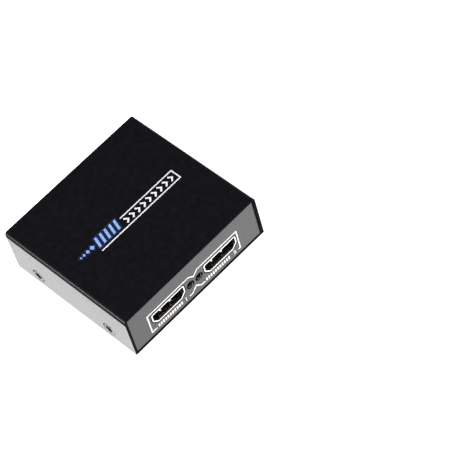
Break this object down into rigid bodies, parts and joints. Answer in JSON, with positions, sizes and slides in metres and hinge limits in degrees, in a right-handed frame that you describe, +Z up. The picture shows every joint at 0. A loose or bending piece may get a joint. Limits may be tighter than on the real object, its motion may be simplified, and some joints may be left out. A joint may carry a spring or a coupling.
{
  "type": "video signal splitter",
  "caption": "Small flat splitter in a folded black steel case that copies one video input at the back to a pair of sockets at the front, with indicator lights and a power jack.",
  "frame": {"origin": "under the middle of the case, on the surface that its rubber feet stand on", "axes": "+Z up, -Y towards the front panel with the output sockets, +X to the right as seen from the front"},
  "size_m": [0.06, 0.057, 0.0212],
  "materials": {
    "case_paint": "satin black paint over folded steel",
    "black_screw": "black zinc plating",
    "rubber": "matte moulded rubber",
    "board_green": "solder mask over glass cloth laminate",
    "plated_steel": "bright zinc plating",
    "socket_shell": "nickel plating on folded steel",
    "socket_moulding": "moulded black plastic",
    "gold_contact": "gold flash on copper alloy",
    "light_lens": "clear cast resin",
    "light_holder": "moulded black nylon",
    "tinned_leg": "tinned wire",
    "jack_moulding": "moulded black plastic",
    "jack_metal": "nickel plated strip",
    "chip_moulding": "moulded epoxy",
    "thermal_pad": "soft filled silicone",
    "heat_sink": "black anodised",
    "can_metal": "drawn can",
    "base_moulding": "moulded plastic",
    "crystal_ceramic": "fired alumina",
    "ferrite": "pressed ferrite",
    "copper": "enamelled copper wire",
    "resistor": "glazed black film on ceramic",
    "capacitor": "fired ceramic"
  },
  "bodies": {
    "splitter": {"base_tray": "case_paint", "board_screws": "plated_steel", "board_standoffs": "plated_steel", "ceramic_capacitors": "capacitor", "circuit_board": "board_green", "control_chip": "chip_moulding", "control_chip_pins": "tinned_leg", "crystal_base": "crystal_ceramic", "crystal_can": "can_metal", "electrolytic_bases": "base_moulding", "electrolytic_cans": "can_metal", "front_light_holder": "light_holder", "heat_sink": "heat_sink", "inductor_core": "ferrite", "inductor_shield": "ferrite", "inductor_winding": "copper", "input_contacts": "gold_contact", "input_diode": "chip_moulding", "input_diode_ends": "tinned_leg", "input_insulator": "socket_moulding", "input_shell": "socket_shell", "light_legs": "tinned_leg", "memory_chip_pins": "tinned_leg", "memory_chips": "chip_moulding", "output_1_contacts": "gold_contact", "output_1_insulator": "socket_moulding", "output_1_light": "light_lens", "output_1_shell": "socket_shell", "output_2_contacts": "gold_contact", "output_2_insulator": "socket_moulding", "output_2_light": "light_lens", "output_2_shell": "socket_shell", "power_jack_housing": "jack_moulding", "power_jack_pin": "jack_metal", "power_jack_spring_terminal": "jack_metal", "power_jack_switch_contact": "jack_metal", "power_light": "light_lens", "power_light_holder": "light_holder", "resistors": "resistor", "rubber_feet": "rubber", "side_screws": "black_screw", "splitter_chip": "chip_moulding", "splitter_chip_pins": "tinned_leg", "surge_arrays": "chip_moulding", "thermal_pad": "thermal_pad", "top_cover": "case_paint", "voltage_regulator_pins": "tinned_leg", "voltage_regulators": "chip_moulding"},
    "jack_spring": {"power_jack_spring": "jack_metal"}
  },
  "joints": [
    {"name": "jack_spring_flex", "type": "hinge", "parent": "splitter", "child": "jack_spring", "pos_m": [-0.01235, 0.0155, 0.00935], "axis": [-1, 0, 0], "range_deg": [0, 4.5], "stiffness_Nm_per_rad": 0.3, "springref_deg": -1.72}
  ]
}
